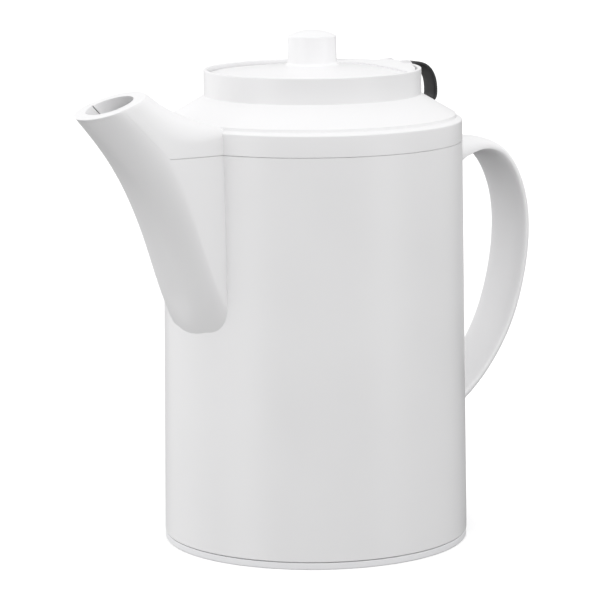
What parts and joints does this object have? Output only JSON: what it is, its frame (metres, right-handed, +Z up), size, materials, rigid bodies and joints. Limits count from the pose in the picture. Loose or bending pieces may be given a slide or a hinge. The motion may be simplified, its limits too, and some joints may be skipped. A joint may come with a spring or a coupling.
{
  "type": "coffee pot",
  "caption": "Tall double-walled coffee pot with a horn spout, a band handle and a hinged plug lid held by a rubber strap.",
  "frame": {"origin": "centre of the flat underside, on the pot's axis", "axes": "+Z up along the pot's axis, +X towards the handle, -X towards the spout, Y across"},
  "size_m": [0.2481, 0.141, 0.236],
  "materials": {
    "casing": "satin",
    "base": "satin",
    "lid": "satin",
    "vessel": "gloss",
    "foam": "matte",
    "seal": "matte",
    "strap": "matte",
    "screw": "brushed"
  },
  "bodies": {
    "pot": {"lower_casing": "casing", "upper_casing": "casing", "base_cover": "base", "inner_vessel": "vessel", "spout_liner": "vessel", "neck_gasket": "seal", "insulation_sleeve": "foam", "insulation_disc": "foam", "handle": "casing", "handle_screw_upper": "screw", "handle_screw_lower": "screw", "tether_strap": "strap", "tether_anchor": "casing"},
    "lid": {"lid_cover": "lid", "lid_knob": "lid", "lid_plug": "vessel", "lid_gasket": "seal", "tether_pin": "screw"}
  },
  "joints": [
    {"name": "lid_swing", "type": "hinge", "parent": "pot", "child": "lid", "pos_m": [0.049, 0, 0.2164], "axis": [0, 1, 0], "range_deg": [0, 100]}
  ]
}
